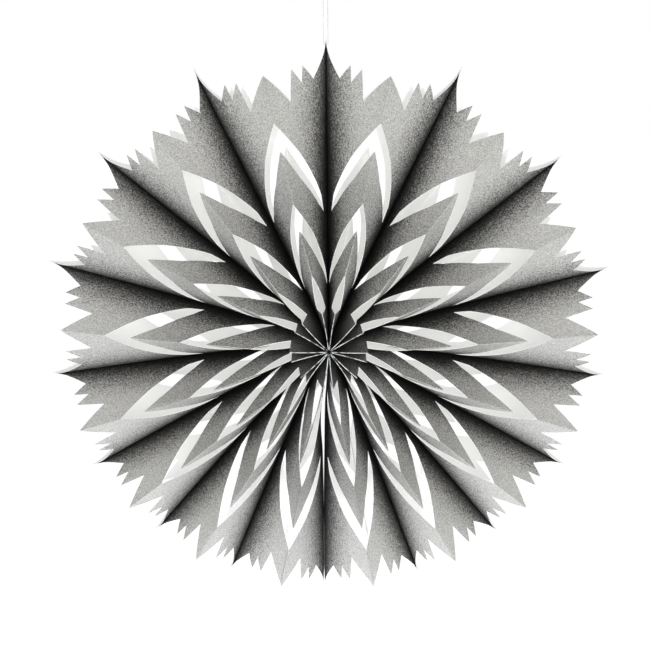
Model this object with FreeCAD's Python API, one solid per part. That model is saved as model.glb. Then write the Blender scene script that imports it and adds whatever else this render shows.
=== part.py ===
import FreeCAD, Part
import math
import os

# A hanging paper medallion: eight gusseted paper bags, cut with one pattern, glued face to face
# and fanned out into a full circle. Millimetres, +Z up, front towards -Y.
# The origin is under the knot of the hanging loop, where a hook or nail carries it.
# A bag has two folds side by side, each with a front and a back, and each of those four is a solid:
# two panels that meet in a ridge. They touch along the creases where the real sheet runs on.

# Paper and bags
LEAF = 300.0            # hub to the tip of a valley spike, the bag's length
PANEL = 78.0            # valley to the next ridge, half of the bag's width
PAPER = 0.3             # thickness of the sheet
HUB_HOLE = 3.0          # radius at which the folds start
GLUE_HALF = 2.0         # half width of the glued line between two bags
CREASE_HALF_GAP = 0.05  # half of the gap inside a sharp fold
GUSSET_HALF_GAP = 0.1   # half of the gap between the front and back gusset folds

# How far each of the sixteen folds is opened, in degrees, clockwise from the top, seen from the front.
# The weight pulls the folds at the top further apart than those at the bottom.
OPENINGS = (26.5, 26.0, 24.5, 22.5, 21.0, 20.5, 19.5, 20.0, 22.0, 18.5, 19.5, 21.5, 23.5, 24.0, 24.7, 25.8)

# The first and the last bag meet in a seam at the bottom. It opens near the hub and lies beside its valley's
# plane: (distance from the hub, distance clockwise of that plane), for the bag before it and the bag after it
SEAM_VALLEY = 8
SEAM_TURN = 75.0
SEAM_CLOSED = 187.0
SEAM_BEFORE = ((0.0, 0.0), (SEAM_TURN, 4.3), (SEAM_CLOSED, 5.2), (LEAF, 5.2))
SEAM_AFTER = ((0.0, 0.0), (20.0, 1.2), (SEAM_TURN, 8.3), (SEAM_CLOSED, 5.3), (LEAF, 5.3))

# The cut pattern of one panel: (distance from the hub, distance from the valley)
RIM = ((LEAF, 0), (281, 12), (258, 29), (271, 39.5), (255, 42), (269, 51), (239, 56.5), (271, PANEL))
OUTER_SLOT = ((223, PANEL), (190, 54), (148, 28), (131, 24), (140, 35.5), (168, 60), (196, PANEL))
MIDDLE_SLOT = ((146, PANEL), (113, 52), (70, 26), (57, 22), (84, 50), (120, PANEL))
INNER_SLOT = ((76, PANEL), (56, 62.5), (38, 50.5), (38, PANEL))

# The bend of a panel, and the lines between its flat facets, from the valley to the ridge
CREASE_PULL = 0.5       # how strongly a ridge crease bends the panel back
BEND_STEPS = 36         # steps in which the bend is added up across a panel
MOST_BEND = 3.1
FOLD_LINES = (0.0, GLUE_HALF, 26.0, PANEL)
LONGEST_FACET = 115.0   # longest piece of a fold line between two points of it
STATION = 5.0           # step along the leaf at which the folded shape is worked out

# Hanging thread
THREAD = 0.8            # diameter
STRAND_X = 2.2          # half the distance between its two strands
HOLE_AT = 291.0         # hub to the thread's hole in the top spike
HOLE_ACROSS = 1.2       # across the flats of that six-sided hole
HUB_DROP = 350.0        # from the top of the loop down to the hub
KNOT_HALF = 1.2         # half width of the knot
KNOT_UP = 1.0           # thread line above the underside of the knot, half of its height
KNOT_SIDES = 8
KNOT_END = 0.6          # the knot's ends are this much narrower than its middle
KNOT_SLOPE = 0.3        # height of the sloping rim at each end
BEND_SHARE = 0.45       # part of a run that the arc at its corner takes

# Closing tape between the first and the last bag
TAPE_FROM = 195.0       # distance from the hub
TAPE_TO = 276.0
TAPE_HALF = 1.4         # half of its width, front to back

FOLDS = len(OPENINGS)
FRONT = FreeCAD.Vector(0, -1, 0)
HUB = FreeCAD.Vector(0, 0, -HUB_DROP)


def valley_angle(valley):
    """Azimuth of a valley in radians, clockwise from the top."""
    return math.radians(sum(OPENINGS[:valley % FOLDS]) * 360.0 / sum(OPENINGS))


def half_opening(fold):
    return math.radians(OPENINGS[fold] * 180.0 / sum(OPENINGS))


def along_table(table, along):
    """The value of a table of (distance, value) at this distance."""
    for (low, first), (high, second) in zip(table, table[1:]):
        if along <= high:
            return first + (second - first) * (along - low) / (high - low)
    return table[-1][1]


def valley_gaps(valley, side, along):
    """Where the middle of the sheet starts at a valley: sideways from its plane, and in front."""
    if valley % 2:
        return PAPER / 2 + CREASE_HALF_GAP, PAPER / 2 + GUSSET_HALF_GAP
    if valley % FOLDS != SEAM_VALLEY:
        return PAPER / 2, 0.0
    if side > 0:
        return PAPER / 2 + along_table(SEAM_AFTER, along), 0.0
    return PAPER / 2 - along_table(SEAM_BEFORE, along), 0.0


def bent_panel(bend, start):
    """Sideways and forward place of each fold line where the sheet bends that much."""
    width = PANEL - GLUE_HALF
    step = 1.0 / BEND_STEPS
    across, depth = start[0], start[1] + GLUE_HALF
    curve = [(GLUE_HALF, across, depth)]
    for number in range(BEND_STEPS):
        part = (number + 0.5) * step
        slope = bend * ((2 - CREASE_PULL) * part - part * part)
        across += width * step * math.sin(slope)
        depth += width * step * math.cos(slope)
        curve.append((GLUE_HALF + width * (number + 1) * step, across, depth))
    corners = [start]
    for line in FOLD_LINES[1:]:
        place = (line - GLUE_HALF) / width * BEND_STEPS
        number = min(int(place), BEND_STEPS - 1)
        first, second = curve[number], curve[number + 1]
        share = place - number
        corners.append((first[1] + (second[1] - first[1]) * share, first[2] + (second[2] - first[2]) * share))
    return corners


def bend_reaching(across, start):
    """The bend at which the ridge lies that far sideways."""
    low, high = 0.0, MOST_BEND
    for _ in range(24):
        middle = (low + high) / 2
        if bent_panel(middle, start)[-1][0] < across:
            low = middle
        else:
            high = middle
    return low


def mitre(first, second):
    """Offset direction at the corner of two facets with these unit normals."""
    scale = 1 + first[0] * second[0] + first[1] * second[1]
    return (first[0] + second[0]) / scale, (first[1] + second[1]) / scale


def skin_offsets(corners, valley):
    """Direction from the middle of the sheet to its printed skin, at each fold line."""
    normals = []
    for first, second in zip(corners, corners[1:]):
        across, depth = second[0] - first[0], second[1] - first[1]
        length = math.hypot(across, depth)
        normals.append((-depth / length, across / length))
    crease = (0.0, 1.0)
    before = crease if valley % 2 else normals[0]
    chain = [before] + normals + [crease]
    return [mitre(first, second) for first, second in zip(chain, chain[1:])]


class Panel:
    """One panel of a fold, between a valley and a ridge. side is 1 clockwise of its valley, -1 before it."""

    def __init__(self, valley, side):
        self.valley = valley
        self.side = side
        angle = valley_angle(valley)
        self.outward = FreeCAD.Vector(math.sin(angle), 0, math.cos(angle))
        self.across = FreeCAD.Vector(math.cos(angle), 0, -math.sin(angle)) * side
        self.half = half_opening(valley % FOLDS if side > 0 else (valley - 1) % FOLDS)
        self.stations = self.work_out_stations()

    def work_out_stations(self):
        """Cross-sections along the leaf, with every fold line keeping its true length."""
        ridge_gap = PAPER / 2 + CREASE_HALF_GAP
        count = int(math.ceil((LEAF - HUB_HOLE) / STATION))
        step = (LEAF - HUB_HOLE) / count
        radial = [HUB_HOLE] * len(FOLD_LINES)
        stations = []
        corners = None
        for index in range(count + 1):
            start = valley_gaps(self.valley, self.side, HUB_HOLE + step * index)
            reach = radial[-1] + (step if index else 0.0)
            target = (reach * math.sin(self.half) - ridge_gap) / math.cos(self.half)
            bend = bend_reaching(target, start)
            new_corners = bent_panel(bend, start)
            if index:
                for line, (old, new) in enumerate(zip(corners, new_corners)):
                    moved = (new[0] - old[0]) ** 2 + (new[1] - old[1]) ** 2
                    radial[line] += math.sqrt(max(step * step - moved, 0.01))
            corners = new_corners
            stations.append((list(radial), corners, skin_offsets(corners, self.valley)))
        self.step = step
        return stations

    def line_point(self, station, line, skin):
        radial, corners, offsets = self.stations[station]
        reach = skin * PAPER / 2
        across = corners[line][0] + reach * offsets[line][0]
        depth = corners[line][1] + reach * offsets[line][1]
        return self.outward * radial[line] + self.across * across + FRONT * depth

    def point(self, along, from_valley, skin, back):
        """A point of the pattern in space. skin is 1 for the printed side, -1 for the plain side."""
        position = (along - HUB_HOLE) / self.step
        station = min(int(position), len(self.stations) - 2)
        line = 0
        while line < len(FOLD_LINES) - 2 and from_valley > FOLD_LINES[line + 1]:
            line += 1
        across_part = (from_valley - FOLD_LINES[line]) / (FOLD_LINES[line + 1] - FOLD_LINES[line])
        ends = []
        for number in (station, station + 1):
            first = self.line_point(number, line, skin)
            second = self.line_point(number, line + 1, skin)
            ends.append(first + (second - first) * across_part)
        place = ends[0] + (ends[1] - ends[0]) * (position - station)
        if back:
            place.y = -place.y
        return place + HUB

    def middle(self, along, skin, back):
        """The point of the valley crease in the valley's own plane, halfway to the next panel."""
        place = self.point(along, FOLD_LINES[0], skin, back) - HUB
        return place - self.across * place.dot(self.across) + HUB


def panel_outline():
    """The cut panel, open at the ridge side where the slots cross it."""
    points = [(HUB_HOLE, 0.0)] + list(RIM)
    for slot in (OUTER_SLOT, MIDDLE_SLOT, INNER_SLOT):
        points += list(slot)
    points.append((HUB_HOLE, PANEL))
    return [(float(along), float(from_valley)) for along, from_valley in points]


def same(first, second):
    return abs(first - second) < 1e-6


def fold_line_of(first, second):
    """The fold line that an edge of the flat pattern lies on, or None."""
    for line in FOLD_LINES:
        if same(first[1], line) and same(second[1], line):
            return line
    return None


def strip_polygons():
    """The pattern cut along the fold lines into flat polygons, anticlockwise."""
    corners = [FreeCAD.Vector(along, from_valley, 0) for along, from_valley in panel_outline()]
    sheet = Part.Face(Part.makePolygon(corners + corners[:1]))
    polygons = []
    for low, high in zip(FOLD_LINES, FOLD_LINES[1:]):
        strip = Part.Face(Part.makePolygon([
            FreeCAD.Vector(-1, low, 0), FreeCAD.Vector(LEAF + 1, low, 0),
            FreeCAD.Vector(LEAF + 1, high, 0), FreeCAD.Vector(-1, high, 0), FreeCAD.Vector(-1, low, 0)]))
        for face in sheet.common(strip).Faces:
            loop = [(vertex.X, vertex.Y) for vertex in face.OuterWire.OrderedVertexes]
            area = sum(a[0] * b[1] - b[0] * a[1] for a, b in zip(loop, loop[1:] + loop[:1]))
            polygons.append(loop if area > 0 else loop[::-1])
    return polygons


def with_extra_points(polygons):
    """Adds points on long stretches of the fold lines, the same on both sides of each line."""
    stops = {line: set() for line in FOLD_LINES}
    for loop in polygons:
        for first, second in zip(loop, loop[1:] + loop[:1]):
            line = fold_line_of(first, second)
            if line is not None:
                stops[line].update((round(first[0], 6), round(second[0], 6)))
    for line, found in stops.items():
        if line <= GLUE_HALF:
            found.add(SEAM_TURN)
        ordered = sorted(found)
        for low, high in zip(ordered, ordered[1:]):
            pieces = int(math.ceil((high - low) / LONGEST_FACET))
            found.update(low + (high - low) * number / pieces for number in range(1, pieces))
    result = []
    for loop in polygons:
        longer = []
        for first, second in zip(loop, loop[1:] + loop[:1]):
            longer.append(first)
            line = fold_line_of(first, second)
            if line is None:
                continue
            low, high = sorted((first[0], second[0]))
            between = [stop for stop in stops[line] if low + 1e-4 < stop < high - 1e-4]
            longer += [(stop, line) for stop in sorted(between, reverse=first[0] > second[0])]
        result.append(longer)
    return result


def cross(first, second, third):
    return ((second[0] - first[0]) * (third[1] - first[1])
            - (second[1] - first[1]) * (third[0] - first[0]))


def ear_quality(first, second, third):
    """Height of a triangle over its longest side, and below zero where it is no ear."""
    area = cross(first, second, third)
    longest = max(math.dist(first, second), math.dist(second, third), math.dist(third, first))
    return area / longest


def triangles_of(loop):
    """Cuts an anticlockwise polygon into triangles, the fattest ear first."""
    rest = list(loop)
    triangles = []
    while len(rest) > 3:
        best, best_quality = None, 1e-3
        for index in range(len(rest)):
            ear = (rest[index - 1], rest[index], rest[(index + 1) % len(rest)])
            quality = ear_quality(*ear)
            if quality <= best_quality:
                continue
            others = [point for point in rest if point not in ear]
            covered = any(
                cross(ear[0], ear[1], point) > -1e-6 and cross(ear[1], ear[2], point) > -1e-6
                and cross(ear[2], ear[0], point) > -1e-6 for point in others)
            if not covered:
                best, best_quality = index, quality
        if best is None:
            raise ValueError("a polygon of the pattern has no ear left")
        triangles.append((rest[best - 1], rest[best], rest[(best + 1) % len(rest)]))
        del rest[best]
    triangles.append(tuple(rest))
    return triangles


def flat_pattern():
    """Triangles of the flat panel, its cut edges, and its stretches of ridge and of valley."""
    polygons = with_extra_points(strip_polygons())
    triangles = []
    cut_edges = []
    ridge_edges = []
    valley_edges = []
    for loop in polygons:
        triangles += triangles_of(loop)
        for first, second in zip(loop, loop[1:] + loop[:1]):
            line = fold_line_of(first, second)
            if line is None:
                cut_edges.append((first, second))
            elif line == FOLD_LINES[0]:
                valley_edges.append((first, second))
            elif line == FOLD_LINES[-1]:
                ridge_edges.append((first, second))
    return triangles, cut_edges, ridge_edges, valley_edges


class Mesh:
    """Collects the faces of one solid, with one vertex for each place."""

    def __init__(self):
        self.numbers = {}
        self.vertices = []
        self.faces = []

    def number(self, place):
        key = (round(place.x, 4), round(place.y, 4), round(place.z, 4))
        if key not in self.numbers:
            self.numbers[key] = len(self.vertices)
            self.vertices.append(FreeCAD.Vector(*key))
        return self.numbers[key]

    def triangle(self, places, flipped):
        corners = [self.number(place) for place in places]
        if len(set(corners)) == 3:
            self.faces.append(tuple(reversed(corners)) if flipped else tuple(corners))

    def quad(self, places, flipped):
        self.triangle((places[0], places[1], places[2]), flipped)
        self.triangle((places[0], places[2], places[3]), flipped)

    def solid(self):
        shape = Part.Shape()
        shape.makeShapeFromMesh((self.vertices, self.faces), 1e-5)
        solid = Part.makeSolid(Part.makeShell(shape.Faces))
        if solid.Volume < 0:
            solid.reverse()
        return solid


def add_panel(mesh, panel, back, pattern):
    flipped = (panel.side < 0) != back
    for triangle in pattern[0]:
        for skin in (1, -1):
            places = [panel.point(along, across, skin, back) for along, across in triangle]
            mesh.triangle(places, flipped != (skin > 0))
    for first, second in pattern[1]:
        mesh.quad([panel.point(*second, -1, back), panel.point(*first, -1, back),
                   panel.point(*first, 1, back), panel.point(*second, 1, back)], flipped)


def add_ridge(mesh, after, before, back, edges):
    """The sharp fold between two panels. after lies clockwise of its own valley, before ahead of its own."""
    starts = {first for first, _ in edges}
    ends = {second for _, second in edges}
    for first, second in edges:
        for skin in (-1, 1):
            mesh.quad([after.point(*second, skin, back), after.point(*first, skin, back),
                       before.point(*first, skin, back), before.point(*second, skin, back)],
                      back != (skin > 0))
    for place in starts - ends:
        mesh.quad([before.point(*place, -1, back), after.point(*place, -1, back),
                   after.point(*place, 1, back), before.point(*place, 1, back)], back)
    for place in ends - starts:
        mesh.quad([after.point(*place, -1, back), before.point(*place, -1, back),
                   before.point(*place, 1, back), after.point(*place, 1, back)], back)


def close_glued_valley(mesh, panel, back, edges):
    """The end of a front panel on its back panel, in the plane of the medallion."""
    flipped = (panel.side < 0) != back
    for first, second in edges:
        mesh.quad([panel.point(*second, -1, back), panel.point(*first, -1, back),
                   panel.point(*first, 1, back), panel.point(*second, 1, back)], flipped)


def close_gusset_valley(mesh, panel, back, edges):
    """Half of the gusset crease, up to the plane of the valley, where the next fold carries on."""
    flipped = (panel.side < 0) != back
    starts = {first for first, _ in edges}
    ends = {second for _, second in edges}
    for first, second in edges:
        for skin in (-1, 1):
            mesh.quad([panel.point(*second, skin, back), panel.point(*first, skin, back),
                       panel.middle(first[0], skin, back), panel.middle(second[0], skin, back)],
                      flipped != (skin > 0))
        mesh.quad([panel.middle(second[0], -1, back), panel.middle(first[0], -1, back),
                   panel.middle(first[0], 1, back), panel.middle(second[0], 1, back)], flipped)
    for place in starts - ends:
        mesh.quad([panel.middle(place[0], -1, back), panel.point(*place, -1, back),
                   panel.point(*place, 1, back), panel.middle(place[0], 1, back)], flipped)
    for place in ends - starts:
        mesh.quad([panel.point(*place, -1, back), panel.middle(place[0], -1, back),
                   panel.middle(place[0], 1, back), panel.point(*place, 1, back)], flipped)


def rounded_edges(edges):
    return [tuple((round(along, 6), round(across, 6)) for along, across in edge) for edge in edges]


def paper_fold(number, back, pattern):
    """Front or back of one fold: its two panels, the ridge between them and their ends at the valleys."""
    panels = [Panel(number, 1), Panel(number + 1, -1)]
    mesh = Mesh()
    for panel in panels:
        add_panel(mesh, panel, back, pattern)
        close = close_gusset_valley if panel.valley % 2 else close_glued_valley
        close(mesh, panel, back, rounded_edges(pattern[3]))
    add_ridge(mesh, panels[0], panels[1], back, rounded_edges(pattern[2]))
    return mesh.solid()


def thread_hole():
    """A six-sided punch through the glued layers of the top spike, flat at its top, where the thread bears."""
    corner = HOLE_ACROSS / math.sqrt(3)
    middle = -HUB_DROP + HOLE_AT + THREAD / 2 - HOLE_ACROSS / 2
    points = []
    for index in range(7):
        turn = math.radians(60 * index)
        points.append(FreeCAD.Vector(-STRAND_X, corner * math.cos(turn), middle + corner * math.sin(turn)))
    return Part.Face(Part.makePolygon(points)).extrude(FreeCAD.Vector(2 * STRAND_X, 0, 0))


def rounded_path(points):
    """Straight runs joined by tangent arcs, as large as the runs allow."""
    edges = []
    start = points[0]
    radii = []
    for before, corner, after in zip(points, points[1:], points[2:]):
        incoming = (corner - before).normalize()
        outgoing = (after - corner).normalize()
        half_turn = incoming.getAngle(outgoing) / 2
        cut = BEND_SHARE * min((corner - before).Length, (after - corner).Length)
        radius = cut / math.tan(half_turn)
        radii.append(round(radius, 2))
        entry = corner - incoming * cut
        leave = corner + outgoing * cut
        inward = (outgoing - incoming).normalize()
        middle = corner + inward * (radius / math.cos(half_turn) - radius)
        edges.append(Part.LineSegment(start, entry).toShape())
        edges.append(Part.Arc(entry, middle, leave).toShape())
        start = leave
    edges.append(Part.LineSegment(start, points[-1]).toShape())
    return Part.Wire(edges), radii


def thread_points():
    """The thread's route: from the knot down one side, through the hole and up the other side."""
    low = -HUB_DROP + HOLE_AT
    return [FreeCAD.Vector(-KNOT_HALF, 0, KNOT_UP), FreeCAD.Vector(-STRAND_X, 0, KNOT_UP),
            FreeCAD.Vector(-STRAND_X, 0, low), FreeCAD.Vector(STRAND_X, 0, low),
            FreeCAD.Vector(STRAND_X, 0, KNOT_UP), FreeCAD.Vector(KNOT_HALF, 0, KNOT_UP)]


def hanging_thread():
    points = thread_points()
    path, radii = rounded_path(points)
    ring = Part.Wire(Part.Circle(points[0], FreeCAD.Vector(1, 0, 0), THREAD / 2).toShape())
    tube = path.makePipeShell([ring], True, False)
    expected = math.pi * THREAD ** 2 / 4 * path.Length
    print("thread length", round(path.Length, 1), "arc radii", radii,
          "volume", round(tube.Volume, 2), "expected", round(expected, 2))
    return tube


def thread_knot():
    """The tied knot, a small eight-sided barrel whose flat cheeks take both ends of the thread."""
    half_side = math.pi / KNOT_SIDES
    rings = []
    for height, size in ((0.0, KNOT_END), (KNOT_SLOPE, 1.0),
                         (2 * KNOT_UP - KNOT_SLOPE, 1.0), (2 * KNOT_UP, KNOT_END)):
        corner = KNOT_HALF * size / math.cos(half_side)
        turns = [half_side * (2 * index + 1) for index in range(KNOT_SIDES)]
        rings.append([FreeCAD.Vector(corner * math.cos(turn), corner * math.sin(turn), height)
                      for turn in turns])
    loops = [rings[0], rings[-1]]
    for lower, upper in zip(rings, rings[1:]):
        for index in range(KNOT_SIDES):
            loops.append([lower[index - 1], lower[index], upper[index], upper[index - 1]])
    faces = [Part.Face(Part.makePolygon(loop + loop[:1])) for loop in loops]
    return Part.makeSolid(Part.makeShell(faces))


def closing_tape():
    """Double-sided tape that holds the last bag to the first one."""
    angle = valley_angle(SEAM_VALLEY)
    outward = FreeCAD.Vector(math.sin(angle), 0, math.cos(angle))
    across = FreeCAD.Vector(math.cos(angle), 0, -math.sin(angle))
    beside, thickness = SEAM_BEFORE[-1][1], SEAM_AFTER[-1][1] - SEAM_BEFORE[-1][1]
    corner = HUB + outward * TAPE_FROM + across * beside - FRONT * TAPE_HALF
    points = [corner, corner + across * thickness,
              corner + across * thickness + FRONT * 2 * TAPE_HALF,
              corner + FRONT * 2 * TAPE_HALF, corner]
    return Part.Face(Part.makePolygon(points)).extrude(outward * (TAPE_TO - TAPE_FROM))


def main():
    os.makedirs("parts", exist_ok=True)
    pattern = flat_pattern()
    hole = thread_hole()
    nodes = {}
    for number in range(FOLDS):
        for back, side in ((False, "front"), (True, "back")):
            fold = paper_fold(number, back, pattern)
            if number in (0, FOLDS - 1):
                fold = fold.cut(hole)
            nodes["fold_%d_%s" % (number + 1, side)] = fold
    nodes["hanging_thread"] = hanging_thread()
    nodes["thread_knot"] = thread_knot()
    nodes["closing_tape"] = closing_tape()
    for name, shape in nodes.items():
        print(name, shape.ShapeType, "solids", len(shape.Solids), "faces", len(shape.Faces),
              "valid", shape.isValid(), "volume", round(shape.Volume, 1))
        shape.exportStep("parts/%s.step" % name)


main()
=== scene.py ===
import math

import bmesh
import bpy
import numpy as np
from mathutils import Matrix, Vector
from mathutils.geometry import delaunay_2d_cdt


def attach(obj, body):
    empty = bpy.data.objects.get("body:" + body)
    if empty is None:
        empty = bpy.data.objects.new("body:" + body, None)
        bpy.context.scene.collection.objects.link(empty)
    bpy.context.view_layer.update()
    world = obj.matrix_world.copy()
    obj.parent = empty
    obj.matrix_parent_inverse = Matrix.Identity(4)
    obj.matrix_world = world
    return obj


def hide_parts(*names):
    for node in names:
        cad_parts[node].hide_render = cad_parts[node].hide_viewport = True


# A hanging medallion of eight gusseted paper bags, cut with one pattern and fanned into a circle.
# Lengths of the paper are in millimetres, as in its CAD source, and MM turns them into metres.
MM = 0.001

# Camera, from the fit of the fold lines to the photograph
CAMERA_AT = (-0.0024, -0.8554, -0.1344)
CAMERA_RIGHT = (0.9999, -0.001, -0.0102)
CAMERA_UP = (0.0101, 0.2355, 0.9718)
CAMERA_LENS = 46.0
SENSOR = 36.0
NEAREST_SEEN = 0.01

# Thread: its route, with two more points on each long straight strand
THREAD_ROUTE = (
    (-1.2, 0, 1), (-2.2, 0, 1), (-2.2, 0, 0), (-2.2, 0, -54.6), (-2.2, 0, -59),
    (2.2, 0, -59), (2.2, 0, -54.6), (2.2, 0, 0), (2.2, 0, 1), (1.2, 0, 1))
THREAD = 0.8
ROUND_STEPS = 3
LENGTH_STEPS = 12

# Paper and folds
LEAF = 300.0            # hub to the tip of a valley spike
PANEL = 78.0            # valley to the next ridge
PAPER = 0.3             # thickness of the sheet
HUB_DROP = 350.0        # from the top of the loop down to the hub
HUB_HOLE = 1.6          # radius at which the folds start
GLUE_HALF = 2.0         # half width of the glued line between two bags
CREASE_HALF_GAP = 0.05  # half of the gap inside a sharp fold
GUSSET_HALF_GAP = 0.1   # half of the gap between the front and back gusset folds
# How far each fold is opened, in degrees, clockwise from the top
OPENINGS = (26.5, 26.0, 24.5, 22.5, 21.0, 20.5, 19.5, 20.0, 22.0, 18.5, 19.5, 21.5, 23.5, 24.0, 24.7, 25.8)
CELLS = len(OPENINGS)
BAGS = CELLS // 2
SEAM_VALLEY = 8
# The first and the last bag meet beside their valley's plane, and open near the hub:
# distance from the hub and distance clockwise of that plane, for the bag before it and the bag after it
SEAM_BEFORE = ((0, 0), (37, 2.1), (54, 2.9), (75, 4.4), (133, 4.7), (182, 5.3), (276, 4.9), (LEAF, 3.7))
SEAM_AFTER = ((0, 0), (20, 1.2), (54, 6.0), (75, 8.2), (94, 8.8), (110, 8.3), (133, 6.4), (182, 5.4),
              (276, 5.0), (LEAF, 6.5))
# Between its two slots, the fold after the seam leans clockwise: distance from the hub and lean of its ridge
LEANING_CELL = 8
LEAN = ((0, 0), (38, 0.5), (60, 2.5), (76, 4.0), (97, 5.5), (122, 7.0), (138, 0), (LEAF, 0))
# How much nearer the hub a slot's edge lies for each millimetre from the ridge
SLOT_SLANT = 1.28
# The power with which the lean grows from valley to ridge, for the panel at the seam and for the other
LEAN_GROWTH = {1: 1, -1: 2}

# The bend of a panel from valley to ridge
CREASE_PULL = 0.5       # how strongly a ridge crease bends the panel back
MOST_BEND = 3.1
BENDS = 300             # bends worked out, from none to the most
BEND_STEPS = 36         # steps in which a bend is added up across a panel
STATION = 5.0           # step along the leaf at which the folded shape is worked out
LEAST_STEP = 0.1        # shortest way outwards that a line makes in such a step

# Near the hub the ridges lie closer to the glued valleys
PINCH = math.radians(6.0)
PINCH_REACH = 60.0

# The cut pattern of one panel: distance from the hub and from the valley
RIM = ((LEAF, 0), (281, 12), (258, 29), (271, 39.5), (255, 42), (269, 51), (239, 56.5), (271, PANEL))
OUTER_SLOT = ((223, PANEL), (190, 54), (148, 28), (131, 24), (140, 35.5), (168, 60), (196, PANEL))
MIDDLE_SLOT = ((146, PANEL), (113, 52), (70, 26), (57, 22), (84, 50), (120, PANEL))
INNER_SLOT = ((76, PANEL), (56, 62.5), (38, 50.5), (38, PANEL))

# The net of triangles
NET_ALONG = 7.0         # step along the leaf
NET_ROWS = 18           # rows across the panel
NET_SQUEEZE = 0.6       # the net is made this much shorter, so that its triangles come out longer
EDGE_STEP = 4.0         # longest stretch of a cut edge between two points
EDGE_CLEAR = 1.2        # inner points stay this far from the edges
STOP_CLEAR = 1.0        # and points on a crease this far from its ends
ON_CREASE = 1e-4
NET_MERGE = 1e-5
WELD = 2e-6             # in metres
SHARP_ANGLE = 35        # in degrees

# Print, in greys of 0 to 255, by distance in millimetres from the middle of the fade
FADE_AT_HUB = 62.0
FADE_SLOPE = 0.165
FADE_RANGE = 45.0
FADE_TONES = ((-45, 15), (-30, 19), (-24, 25), (-18, 34), (-12, 48), (-6, 72), (0, 100), (6, 125), (12, 143),
              (18, 160), (24, 170), (32, 177), (45, 182))
# Lightest print: in the middle of the hub, at its edge, from the inner slot on and towards the rim
CENTRE_TONE = 24
HUB_TONE = 105
INNER_TONE = 152
RIM_TONE = 182
# Distances from the hub over which the lightest print goes from one of those tones to the next
CENTRE_TO_HUB = (3.0, 42.0)
HUB_TO_INNER = (42.0, 68.0)
INNER_TO_RIM = (130.0, 225.0)
TONE_ROUNDING = 0.05
# How much nearer the valley the print fades around the hub, and over which distances that comes in
EARLIER_FADE = 8.0
EARLIER_FADE_OVER = (88.0, 60.0)
# Mottle and speckle move the fade to and fro by these millimetres
MOTTLE_SCALE = 120.0
MOTTLE_DETAIL = 5.0
MOTTLE_WIDTH = 6.0
SPECKLE_SCALE = 700.0
SPECKLE_WIDTH = 76.0
# Grain lightens and darkens the ink, more strongly towards the hub
GRAIN_SCALE = 820.0
GRAIN_IN_BLACK = 0.022
GRAIN_AT_RIM = 1.5
MORE_GRAIN_AT_HUB = 2.6
MORE_GRAIN_OVER = (200.0, 70.0)
INK_WARMTH = (1.0, 0.985, 0.935)
PRINT_ROUGHNESS = 0.55
# The ridges are rubbed pale, most near the hub: where across the panel, in which parts of the noise, and
# the distances from the hub at which it starts and at which it thins out
WORN_INK = (0.62, 0.62, 0.61)
WORN_ACROSS = (PANEL - 0.8, PANEL - 0.3)
WORN_SCALE = 260.0
WORN_DETAIL = 3.0
WORN_PARTS = (0.30, 0.55)
WORN_START = (2.0, 4.0)
WORN_THINS_OVER = (110.0, 50.0)
WORN_AT_RIM = 0.1
WORN_MORE_AT_HUB = 0.9

# Plain side of the sheet and its cut edges; ink and a painted shadow darken them at the hub, and a painted
# glow stands in for light shining through the sheet
PLAIN_PAPER = (0.93, 0.93, 0.915)
PLAIN_CLOUDS = 0.93
PLAIN_SCALE = 350.0
PLAIN_DETAIL = 4.0
PLAIN_ROUGHNESS = 0.8
# ink and painted shade: the plain paper's colour right at the hub, and the distances over which it clears
HUB_INK_AND_SHADE = (0.02, 0.02, 0.02)
INK_AND_SHADE_CLEAR_OVER = (3.0, 9.0)
# painted light: the strength of a glow of the plain paper, standing in for light shining through the sheet
PAINTED_GLOW_THROUGH_SHEET = 0.125

# Tape and thread
TAPE_COLOUR = (0.10, 0.10, 0.10)
TAPE_ROUGHNESS = 0.6
THREAD_COLOUR = (0.80, 0.80, 0.78)
THREAD_ROUGHNESS = 0.9
FINE_SCALE = 300.0
FINE_SHADE = 0.85

# Floor and light: each lamp has a name, place, size, power and colour
FLOOR_AT = -1.3
FLOOR_SIZE = 60
FLOOR_COLOUR = (0.85, 0.85, 0.85)
FLOOR_ROUGHNESS = 0.9
FLOOR_FILL = 0.5
SKY_COLOUR = (0.98, 0.99, 1.0)
SKY_LIGHT = 0.62
LAMPS = (
    ("front", (0.08, -0.98, -0.22), 0.3, 4.3, (1.0, 0.99, 0.97)),
    ("low", (-0.05, -0.75, -0.98), 0.5, 5.5, (0.94, 0.99, 1.06)))


def camera():
    """The camera at the photograph's place."""
    up = Vector(CAMERA_UP).normalized()
    right = Vector(CAMERA_RIGHT)
    right = (right - up * right.dot(up)).normalized()
    back = right.cross(up)
    turn = Matrix((right, up, back)).transposed()
    data = bpy.data.cameras.new("camera")
    data.sensor_width = SENSOR
    data.lens = CAMERA_LENS
    data.clip_start = NEAREST_SEEN
    placed = bpy.data.objects.new("camera", data)
    placed.matrix_world = Matrix.Translation(CAMERA_AT) @ turn.to_4x4()
    bpy.context.scene.collection.objects.link(placed)
    bpy.context.scene.camera = placed


def new_node(tree, kind, **inputs):
    """A shader node with these values on its sockets, the sockets' spaces written as underscores."""
    made = tree.nodes.new(kind)
    for name, value in inputs.items():
        made.inputs[name.replace("_", " ")].default_value = value
    return made


def arithmetic(tree, operation, first, second=None, third=None):
    """A maths node; each term is a number or another node's output."""
    made = tree.nodes.new("ShaderNodeMath")
    made.operation = operation
    for socket, term in zip(made.inputs, (first, second, third)):
        if term is None:
            continue
        if isinstance(term, (int, float)):
            socket.default_value = term
        else:
            tree.links.new(term, socket)
    return made.outputs[0]


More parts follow.
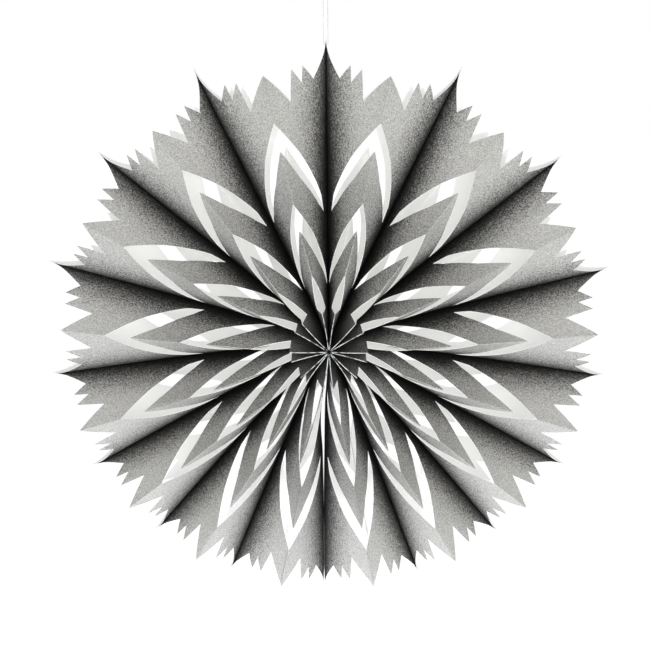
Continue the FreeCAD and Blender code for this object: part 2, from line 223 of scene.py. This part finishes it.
def smooth_step(tree, value, low, high):
    """Goes smoothly from 0 to 1 while the value goes from low to high."""
    made = new_node(tree, "ShaderNodeMapRange")
    made.interpolation_type = "SMOOTHSTEP"
    made.inputs["From Min"].default_value = low
    made.inputs["From Max"].default_value = high
    tree.links.new(value, made.inputs["Value"])
    return made.outputs["Result"]


def noise(tree, coordinates, scale, detail=2.0):
    made = new_node(tree, "ShaderNodeTexNoise", Scale=scale, Detail=detail)
    tree.links.new(coordinates, made.inputs["Vector"])
    return made.outputs[0]


def to_and_fro(tree, coordinates, scale, detail, width):
    """Noise as a shift either way, of this width in all."""
    return arithmetic(tree, "MULTIPLY_ADD", noise(tree, coordinates, scale, detail), width, -width / 2)


def mixed(tree, share, first, second):
    """A mix of two colours, each a tuple or another node's output."""
    made = tree.nodes.new("ShaderNodeMix")
    made.data_type = "RGBA"
    tree.links.new(share, made.inputs[0])
    for socket, colour in ((made.inputs[6], first), (made.inputs[7], second)):
        if isinstance(colour, tuple):
            socket.default_value = (*colour, 1.0)
        else:
            tree.links.new(colour, socket)
    return made.outputs[2]


def material_tree(name, roughness):
    """A new material's tree and its one shader."""
    made = bpy.data.materials.new(name)
    made.use_nodes = True
    tree = made.node_tree
    shader = tree.nodes["Principled BSDF"]
    shader.inputs["Roughness"].default_value = roughness
    return made, tree, shader


def linear(grey):
    """The light of a grey of 0 to 255."""
    share = grey / 255
    return share / 12.92 if share <= 0.04045 else ((share + 0.055) / 1.055) ** 2.4


def pattern_place(tree):
    """Distance from the hub and from the valley on the flat pattern, in millimetres."""
    pattern = tree.nodes.new("ShaderNodeUVMap")
    pattern.uv_map = "pattern"
    split = tree.nodes.new("ShaderNodeSeparateXYZ")
    tree.links.new(pattern.outputs[0], split.inputs[0])
    return [arithmetic(tree, "MULTIPLY", split.outputs[part], LEAF) for part in (0, 1)]


def plain_paper():
    """The white inside and the cut edges, which ink and a painted shadow darken right at the hub; a painted
    glow, gone at the hub, stands in for light shining through the sheet.
    """
    made, tree, shader = material_tree("plain_paper", PLAIN_ROUGHNESS)
    place = tree.nodes.new("ShaderNodeTexCoord").outputs["Object"]
    along = pattern_place(tree)[0]
    # ink and painted shade: the plain paper turns dark right at the hub
    clear_of_ink_and_shade = smooth_step(tree, along, *INK_AND_SHADE_CLEAR_OVER)
    darker = tuple(part * PLAIN_CLOUDS for part in PLAIN_PAPER)
    cloud = mixed(tree, noise(tree, place, PLAIN_SCALE, PLAIN_DETAIL), darker, PLAIN_PAPER)
    tree.links.new(mixed(tree, clear_of_ink_and_shade, HUB_INK_AND_SHADE, cloud), shader.inputs["Base Color"])
    # painted light: the plain paper glows a little, standing in for light through the sheet, but not at the
    # hub
    shader.inputs["Emission Color"].default_value = (*PLAIN_PAPER, 1)
    glow = arithmetic(tree, "MULTIPLY", clear_of_ink_and_shade, PAINTED_GLOW_THROUGH_SHEET)
    tree.links.new(glow, shader.inputs["Emission Strength"])
    return made


def lightest_print(tree, along):
    """How light the print may get, from the middle of the hub to the rim."""
    tone = linear(CENTRE_TONE)
    before = CENTRE_TONE
    for over, after in ((CENTRE_TO_HUB, HUB_TONE), (HUB_TO_INNER, INNER_TONE), (INNER_TO_RIM, RIM_TONE)):
        share = smooth_step(tree, along, *over)
        tone = arithmetic(tree, "MULTIPLY_ADD", share, linear(after) - linear(before), tone)
        before = after
    return tone


def faded_print(tree, place, along, across):
    """The print's fade away from the valley, up to the lightest print."""
    fade_middle = arithmetic(tree, "MULTIPLY_ADD", along, -FADE_SLOPE, FADE_AT_HUB)
    near_hub = smooth_step(tree, along, *EARLIER_FADE_OVER)
    fade_middle = arithmetic(tree, "MULTIPLY_ADD", near_hub, -EARLIER_FADE, fade_middle)
    past = arithmetic(tree, "SUBTRACT", across, fade_middle)
    past = arithmetic(tree, "ADD", past, to_and_fro(tree, place, MOTTLE_SCALE, MOTTLE_DETAIL, MOTTLE_WIDTH))
    past = arithmetic(tree, "ADD", past, to_and_fro(tree, place, SPECKLE_SCALE, 1.0, SPECKLE_WIDTH))
    share = arithmetic(tree, "MULTIPLY_ADD", past, 0.5 / FADE_RANGE, 0.5)
    ramp = tree.nodes.new("ShaderNodeValToRGB")
    stops = ramp.color_ramp.elements
    for number, (distance, grey) in enumerate(FADE_TONES):
        position = 0.5 + 0.5 * distance / FADE_RANGE
        # A new ramp has two stops, which come first
        stop = stops[number] if number < 2 else stops.new(position)
        stop.position = position
        stop.color = (linear(grey), linear(grey), linear(grey), 1)
    tree.links.new(share, ramp.inputs[0])
    return arithmetic(tree, "SMOOTH_MIN", ramp.outputs[0], lightest_print(tree, along), TONE_ROUNDING)


def worn_share(tree, place, along, across):
    """Where the ridge's ink is rubbed off."""
    at_ridge = smooth_step(tree, across, *WORN_ACROSS)
    at_ridge = arithmetic(tree, "MULTIPLY", at_ridge, smooth_step(tree, along, *WORN_START))
    wear = smooth_step(tree, noise(tree, place, WORN_SCALE, WORN_DETAIL), *WORN_PARTS)
    rubbed = smooth_step(tree, along, *WORN_THINS_OVER)
    return arithmetic(tree, "MULTIPLY", arithmetic(tree, "MULTIPLY", at_ridge, wear),
                      arithmetic(tree, "MULTIPLY_ADD", rubbed, WORN_MORE_AT_HUB, WORN_AT_RIM))


def printed_paper():
    """Black print that fades to grey away from the valley, with a fine grain and worn ridges."""
    made, tree, shader = material_tree("printed_paper", PRINT_ROUGHNESS)
    place = tree.nodes.new("ShaderNodeTexCoord").outputs["Object"]
    along, across = pattern_place(tree)
    strength = arithmetic(tree, "MULTIPLY_ADD", smooth_step(tree, along, *MORE_GRAIN_OVER),
                          MORE_GRAIN_AT_HUB, GRAIN_AT_RIM)
    speck = arithmetic(tree, "SUBTRACT", noise(tree, place, GRAIN_SCALE, 1.0), 0.5)
    grain = arithmetic(tree, "MULTIPLY_ADD", speck, strength, 1.0)
    tone = faded_print(tree, place, along, across)
    tone = arithmetic(tree, "MULTIPLY_ADD", speck, GRAIN_IN_BLACK, tone)
    grey = tree.nodes.new("ShaderNodeCombineColor")
    for socket, part in zip(grey.inputs, INK_WARMTH):
        tree.links.new(arithmetic(tree, "MULTIPLY", tone, part), socket)
    ink = tree.nodes.new("ShaderNodeVectorMath")
    ink.operation = "SCALE"
    tree.links.new(grey.outputs[0], ink.inputs[0])
    tree.links.new(grain, ink.inputs["Scale"])
    colour = mixed(tree, worn_share(tree, place, along, across), ink.outputs[0], WORN_INK)
    tree.links.new(colour, shader.inputs["Base Color"])
    return made


def matt(name, colour, roughness):
    """A matt material with a fine unevenness."""
    made, tree, shader = material_tree(name, roughness)
    place = tree.nodes.new("ShaderNodeTexCoord").outputs["Object"]
    darker = tuple(part * FINE_SHADE for part in colour)
    tree.links.new(mixed(tree, noise(tree, place, FINE_SCALE), darker, colour), shader.inputs["Base Color"])
    return made


def thread(material):
    """The doubled thread, from the knot through the top spike and back."""
    line = bpy.data.curves.new("thread", "CURVE")
    line.dimensions = "3D"
    line.bevel_depth = THREAD * MM / 2
    line.bevel_resolution = ROUND_STEPS
    line.resolution_u = LENGTH_STEPS
    spline = line.splines.new("NURBS")
    spline.points.add(len(THREAD_ROUTE) - 1)
    for point, place in zip(spline.points, THREAD_ROUTE):
        point.co = (place[0] * MM, place[1] * MM, place[2] * MM, 1)
    spline.order_u = 3
    spline.use_endpoint_u = True
    line.materials.append(material)
    made = bpy.data.objects.new("thread", line)
    bpy.context.scene.collection.objects.link(made)
    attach(made, "root")
    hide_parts("hanging_thread")


def valley_angle(valley):
    """Azimuth of a valley in radians, clockwise from the top."""
    return math.radians(sum(OPENINGS[:valley % CELLS]) * 360.0 / sum(OPENINGS))


def half_opening(cell):
    """Half of the angle between a fold's two valleys, in radians."""
    return math.radians(OPENINGS[cell] * 180.0 / sum(OPENINGS))


def valley_start(valley, side, along):
    """Where the middle of the sheet starts at a valley: sideways from its plane, and in front."""
    if valley % 2:
        return PAPER / 2 + CREASE_HALF_GAP, PAPER / 2 + GUSSET_HALF_GAP
    if valley % CELLS != SEAM_VALLEY:
        return PAPER / 2, 0.0
    beside = np.interp(along, *zip(*(SEAM_AFTER if side > 0 else SEAM_BEFORE)))
    return PAPER / 2 + side * beside, 0.0


class Bends:
    """Sideways place, depth and slope of every line across a panel, for a range of bends."""

    def __init__(self):
        width = PANEL - GLUE_HALF
        step = 1.0 / BEND_STEPS
        self.bends = np.linspace(0.0, MOST_BEND, BENDS)
        middles = (np.arange(BEND_STEPS) + 0.5) * step
        slopes = self.bends[:, None] * ((2 - CREASE_PULL) * middles - middles ** 2)
        zero = np.zeros((BENDS, 1))
        self.across = np.hstack([zero, zero, np.cumsum(width * step * np.sin(slopes), axis=1)])
        forward = np.cumsum(width * step * np.cos(slopes), axis=1)
        self.depth = np.hstack([zero, zero + GLUE_HALF, GLUE_HALF + forward])
        ends = np.arange(BEND_STEPS + 1) * step
        self.slope = np.hstack([zero, self.bends[:, None] * ((2 - CREASE_PULL) * ends - ends ** 2)])
        self.lines = np.concatenate([[0.0], GLUE_HALF + width * ends])

    def reaching(self, across):
        """Those three for the bend whose ridge lies that far sideways."""
        place = np.interp(across, self.across[:, -1], np.arange(BENDS))
        low = min(int(place), BENDS - 2)
        share = place - low
        tables = (self.across, self.depth, self.slope)
        return [table[low] * (1 - share) + table[low + 1] * share for table in tables]


class Panel:
    """One panel of a bag, between a valley and a ridge. side is 1 clockwise of its valley, -1 before it."""

    def __init__(self, valley, side, bends):
        self.valley = valley
        self.bends = bends
        angle = valley_angle(valley)
        self.outward = np.array([math.sin(angle), 0, math.cos(angle)])
        self.across = np.array([math.cos(angle), 0, -math.sin(angle)]) * side
        self.side = side
        self.cell = valley % CELLS if side > 0 else (valley - 1) % CELLS
        self.half = half_opening(self.cell)
        self.work_out_stations()

    def work_out_stations(self):
        """Cross-sections along the leaf, with every line keeping its true length."""
        ridge_gap = PAPER / 2 + CREASE_HALF_GAP
        count = math.ceil((LEAF - HUB_HOLE) / STATION)
        self.step = (LEAF - HUB_HOLE) / count
        radial = np.full(len(self.bends.lines), HUB_HOLE)
        rows = []
        before = None
        for index in range(count + 1):
            start = valley_start(self.valley, self.side, HUB_HOLE + self.step * index)
            reach = radial[-1] + (self.step if index else 0.0)
            target = (reach * math.sin(self.half) - ridge_gap) / math.cos(self.half)
            across, depth, slope = self.bends.reaching(target - start[0])
            across = across + start[0]
            depth = depth + start[1]
            if index:
                moved = (across - before[0]) ** 2 + (depth - before[1]) ** 2
                onward = np.maximum(self.step ** 2 - moved, LEAST_STEP ** 2)
                radial = radial + np.sqrt(onward)
            before = (across, depth)
            rows.append(np.stack([radial, across, depth, *self.skin_offsets(slope)]))
        self.table = np.array(rows)

    def skin_offsets(self, slope):
        """Direction from the middle of the sheet to its printed skin, on every line."""
        sideways = -np.cos(slope)
        forward = np.sin(slope)
        if self.valley % 2:
            sideways[0], forward[0] = -1.0, 1.0
        scale = 1 + forward[-1]
        sideways[-1], forward[-1] = sideways[-1] / scale, (forward[-1] + 1) / scale
        return sideways, forward

    def places(self, along, from_valley, skin, back):
        """Points of the pattern in space. skin is 1 for the printed side, -1 for the plain side."""
        position = (along - HUB_HOLE) / self.step
        station = np.clip(position.astype(int), 0, len(self.table) - 2)
        lines = self.bends.lines
        line = np.clip(np.searchsorted(lines, from_valley, side="right") - 1, 0, len(lines) - 2)
        share_along = (position - station)[:, None]
        share_across = ((from_valley - lines[line]) / (lines[line + 1] - lines[line]))[:, None]
        near, far = [
            self.table[row, :, line] * (1 - share_across) + self.table[row, :, line + 1] * share_across
            for row in (station, station + 1)]
        found = near * (1 - share_along) + far * share_along
        radial, across, depth, offset_across, offset_depth = found.T
        across = across + skin * PAPER / 2 * offset_across
        depth = depth + skin * PAPER / 2 * offset_depth
        if self.cell == LEANING_CELL:
            at_ridge = along + SLOT_SLANT * (PANEL - from_valley)
            lean = np.interp(at_ridge, *zip(*LEAN)) * (from_valley / PANEL) ** LEAN_GROWTH[self.side]
            across = across + self.side * lean
        radial, across = self.pinched(radial, across)
        placed = radial[:, None] * self.outward + across[:, None] * self.across
        placed[:, 1] += depth if back else -depth
        placed[:, 2] -= HUB_DROP
        return placed * MM

    def pinched(self, radial, across):
        """Turns the ridges near the hub towards the glued valleys."""
        reach = np.hypot(radial, across)
        share = np.arctan2(across, radial) / self.half
        towards = 1.0 if self.valley % 2 else -1.0
        turn = towards * PINCH * share * np.exp(-(reach / PINCH_REACH) ** 2)
        return (radial * np.cos(turn) - across * np.sin(turn), radial * np.sin(turn) + across * np.cos(turn))


def panel_outline():
    """The flat panel's corners. Its ridge side runs along the slots where they cross it."""
    points = [(HUB_HOLE, 0.0)] + list(RIM)
    for slot in (OUTER_SLOT, MIDDLE_SLOT, INNER_SLOT):
        points += list(slot)
    points.append((HUB_HOLE, PANEL))
    return np.array(points, float)


def on_crease(first, second):
    return first[1] == second[1] and first[1] in (0.0, PANEL)


def divided_outline(corners):
    """The outline with points often enough to follow the bend; along the creases they lie in steps."""
    points = []
    for first, second in zip(corners, np.roll(corners, -1, axis=0)):
        if on_crease(first, second):
            low, high = sorted((first[0], second[0]))
            stops = np.arange(math.ceil(low / NET_ALONG), math.ceil(high / NET_ALONG)) * NET_ALONG
            stops = [stop for stop in stops if low + STOP_CLEAR < stop < high - STOP_CLEAR]
            if first[0] > second[0]:
                stops = stops[::-1]
            points += [tuple(first)] + [(stop, first[1]) for stop in stops]
        else:
            pieces = math.ceil(math.dist(first, second) / EDGE_STEP)
            points += [tuple(first + (second - first) * number / pieces) for number in range(pieces)]
    return np.array(points)


def inside_and_clear(points, corners):
    """Which points lie in the outline and far enough from its edges."""
    inside = np.zeros(len(points), bool)
    nearest = np.full(len(points), np.inf)
    for first, second in zip(corners, np.roll(corners, -1, axis=0)):
        crosses = (first[1] > points[:, 1]) != (second[1] > points[:, 1])
        rise = second[1] - first[1]
        if rise:
            at = first[0] + (points[:, 1] - first[1]) * (second[0] - first[0]) / rise
            inside ^= crosses & (points[:, 0] < at)
        run = second - first
        share = np.clip((points - first) @ run / (run @ run), 0, 1)
        away = points - first - share[:, None] * run
        nearest = np.minimum(nearest, np.hypot(away[:, 0], away[:, 1]))
    return inside & (nearest > EDGE_CLEAR)


def flat_net(lines):
    """Points, triangles and border edges of the flat panel."""
    border = divided_outline(panel_outline())
    rows = lines[1::(len(lines) - 1) // NET_ROWS]
    inner = []
    for number, row in enumerate(rows):
        start = HUB_HOLE + NET_ALONG * (0.5 if number % 2 else 0.25)
        inner += [(along, row) for along in np.arange(start, LEAF, NET_ALONG)]
    inner = np.array(inner)
    inner = inner[inside_and_clear(inner, panel_outline())]
    points = [Vector((along * NET_SQUEEZE, across)) for along, across in np.vstack([border, inner])]
    edges = [(number, (number + 1) % len(border)) for number in range(len(border))]
    found = delaunay_2d_cdt(points, edges, [list(range(len(border)))], 1, NET_MERGE)
    flat = np.array([(point.x / NET_SQUEEZE, point.y) for point in found[0]])
    triangles = [tuple(face) for face in found[2]]
    sides = dict.fromkeys(pair for face in triangles for pair in zip(face, face[1:] + face[:1]))
    border_edges = [pair for pair in sides if (pair[1], pair[0]) not in sides]
    return flat, triangles, border_edges


class Net:
    """The flat panel's net, with its border edges sorted by kind."""

    def __init__(self, lines):
        self.flat, self.triangles, borders = flat_net(lines)
        height = self.flat[:, 1]
        self.valley = [pair for pair in borders if max(height[list(pair)]) < ON_CREASE]
        self.ridge = [pair for pair in borders if min(height[list(pair)]) > PANEL - ON_CREASE]
        creases = set(self.valley + self.ridge)
        self.cut = [pair for pair in borders if pair not in creases]


class BagMesh:
    """Collects one bag. Every panel adds its points twice, once for each skin."""

    def __init__(self, net):
        self.net = net
        self.places = []
        self.faces = []
        self.kinds = []

    def face(self, corners, flipped, kind):
        self.faces.append(corners[::-1] if flipped else corners)
        self.kinds.append(kind)

    def add_panel(self, panel, back):
        """Adds a panel and returns the first point numbers of its printed and its plain skin."""
        count = len(self.net.flat)
        starts = {}
        for skin in (1, -1):
            starts[skin] = count * len(self.places)
            self.places.append(panel.places(self.net.flat[:, 0], self.net.flat[:, 1], skin, back))
        flipped = (panel.side < 0) != back
        for triangle in self.net.triangles:
            for skin in (1, -1):
                corners = [starts[skin] + corner for corner in triangle]
                self.face(corners, flipped != (skin > 0), int(skin < 0))
        for first, second in self.net.cut:
            corners = [starts[-1] + second, starts[-1] + first, starts[1] + first, starts[1] + second]
            self.face(corners, flipped, 1)
        return starts

    def add_crease(self, after, before, back, edges):
        """The sharp fold between two panels, given by their first point numbers."""
        firsts = {first for first, _ in edges}
        seconds = {second for _, second in edges}
        for first, second in edges:
            for skin in (-1, 1):
                corners = [after[skin] + second, after[skin] + first,
                           before[skin] + first, before[skin] + second]
                self.face(corners, back != (skin > 0), int(skin < 0))
        for ends, near, far in ((firsts - seconds, before, after), (seconds - firsts, after, before)):
            for place in ends:
                self.face([near[-1] + place, far[-1] + place, far[1] + place, near[1] + place], back, 1)

    def finished(self, name):
        """The bag's mesh, with the flat pattern as its UV map and its panels welded."""
        places = np.vstack(self.places)
        made = bpy.data.meshes.new(name)
        made.from_pydata(places.tolist(), [], self.faces)
        pattern = np.tile(self.net.flat, (len(self.places), 1)) / LEAF
        corners = np.zeros(len(made.loops), int)
        made.loops.foreach_get("vertex_index", corners)
        layer = made.uv_layers.new(name="pattern")
        layer.data.foreach_set("uv", pattern[corners].astype(np.float32).ravel())
        made.polygons.foreach_set("material_index", self.kinds)
        work = bmesh.new()
        work.from_mesh(made)
        bmesh.ops.remove_doubles(work, verts=work.verts, dist=WELD)
        open_edges = sum(len(edge.link_faces) != 2 for edge in work.edges)
        print(name, "points", len(work.verts), "faces", len(work.faces), "open or shared edges", open_edges)
        work.to_mesh(made)
        work.free()
        made.shade_smooth()
        made.set_sharp_from_angle(angle=math.radians(SHARP_ANGLE))
        return made


def paper_bag(number, net, bends, materials):
    """One bag: front and back, each with two ridges and a gusset fold between its glued valleys."""
    first_valley = 2 * number
    panels = [Panel(first_valley, 1, bends), Panel(first_valley + 1, -1, bends),
              Panel(first_valley + 1, 1, bends), Panel(first_valley + 2, -1, bends)]
    mesh = BagMesh(net)
    for back in (False, True):
        starts = [mesh.add_panel(panel, back) for panel in panels]
        mesh.add_crease(starts[0], starts[1], back, net.ridge)
        mesh.add_crease(starts[2], starts[3], back, net.ridge)
        mesh.add_crease(starts[2], starts[1], back, net.valley)
    name = "bag_%d" % (number + 1)
    made = bpy.data.objects.new(name, mesh.finished(name))
    for material in materials:
        made.data.materials.append(material)
    bpy.context.scene.collection.objects.link(made)
    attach(made, "root")
    for fold in (first_valley + 1, first_valley + 2):
        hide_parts("fold_%d_front" % fold, "fold_%d_back" % fold)


def area_light(name, place, size, power, colour):
    """A square light aimed at the hub."""
    data = bpy.data.lights.new(name, "AREA")
    data.size = size
    data.energy = power
    data.color = colour
    made = bpy.data.objects.new(name, data)
    aim = Vector((0, 0, -HUB_DROP * MM)) - Vector(place)
    made.matrix_world = Matrix.Translation(place) @ aim.to_track_quat("-Z", "Y").to_matrix().to_4x4()
    bpy.context.scene.collection.objects.link(made)


def seen_directly(tree):
    """1 for rays of the camera, of mirrors and of glass."""
    path = tree.nodes.new("ShaderNodeLightPath")
    shiny = arithmetic(tree, "MAXIMUM", path.outputs["Is Glossy Ray"], path.outputs["Is Transmission Ray"])
    return arithmetic(tree, "MAXIMUM", path.outputs["Is Camera Ray"], shiny)


def surroundings():
    """Soft light from all round, with white where it is seen."""
    world = bpy.data.worlds.new("studio")
    world.use_nodes = True
    tree = world.node_tree
    tree.nodes.clear()
    light = new_node(tree, "ShaderNodeBackground", Color=(*SKY_COLOUR, 1), Strength=SKY_LIGHT)
    white = new_node(tree, "ShaderNodeBackground", Color=(1, 1, 1, 1), Strength=1.0)
    blend = tree.nodes.new("ShaderNodeMixShader")
    output = tree.nodes.new("ShaderNodeOutputWorld")
    tree.links.new(seen_directly(tree), blend.inputs[0])
    tree.links.new(light.outputs[0], blend.inputs[1])
    tree.links.new(white.outputs[0], blend.inputs[2])
    tree.links.new(blend.outputs[0], output.inputs[0])
    bpy.context.scene.world = world


def floor():
    """A pale floor far below; where the camera sees it, it is white, and a shadow still shows on it."""
    made, tree, shader = material_tree("floor", FLOOR_ROUGHNESS)
    shader.inputs["Base Color"].default_value = (*FLOOR_COLOUR, 1)
    shader.inputs["Emission Color"].default_value = (1, 1, 1, 1)
    fill = arithmetic(tree, "MULTIPLY", seen_directly(tree), FLOOR_FILL)
    tree.links.new(fill, shader.inputs["Emission Strength"])
    bpy.ops.mesh.primitive_plane_add(size=FLOOR_SIZE, location=(0, 0, FLOOR_AT))
    plane = bpy.context.object
    plane.name = "floor"
    plane.data.materials.append(made)


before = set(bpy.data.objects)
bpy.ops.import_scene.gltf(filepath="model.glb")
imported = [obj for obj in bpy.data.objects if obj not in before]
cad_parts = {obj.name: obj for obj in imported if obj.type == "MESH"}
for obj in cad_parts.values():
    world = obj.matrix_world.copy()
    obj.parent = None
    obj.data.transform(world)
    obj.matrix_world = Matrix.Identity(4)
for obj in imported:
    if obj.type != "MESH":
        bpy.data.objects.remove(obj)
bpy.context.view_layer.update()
scene = bpy.context.scene
scene.view_settings.view_transform = "Standard"

camera()
thread(matt("thread", THREAD_COLOUR, THREAD_ROUGHNESS))

all_bends = Bends()
panel_net = Net(all_bends.lines)
paper = (printed_paper(), plain_paper())
for bag_number in range(BAGS):
    paper_bag(bag_number, panel_net, all_bends, paper)

for node, material in (("closing_tape", matt("tape", TAPE_COLOUR, TAPE_ROUGHNESS)),
                       ("thread_knot", matt("knot", THREAD_COLOUR, THREAD_ROUGHNESS))):
    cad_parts[node].data.materials.clear()
    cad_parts[node].data.materials.append(material)

surroundings()
floor()
for lamp in LAMPS:
    area_light(*lamp)
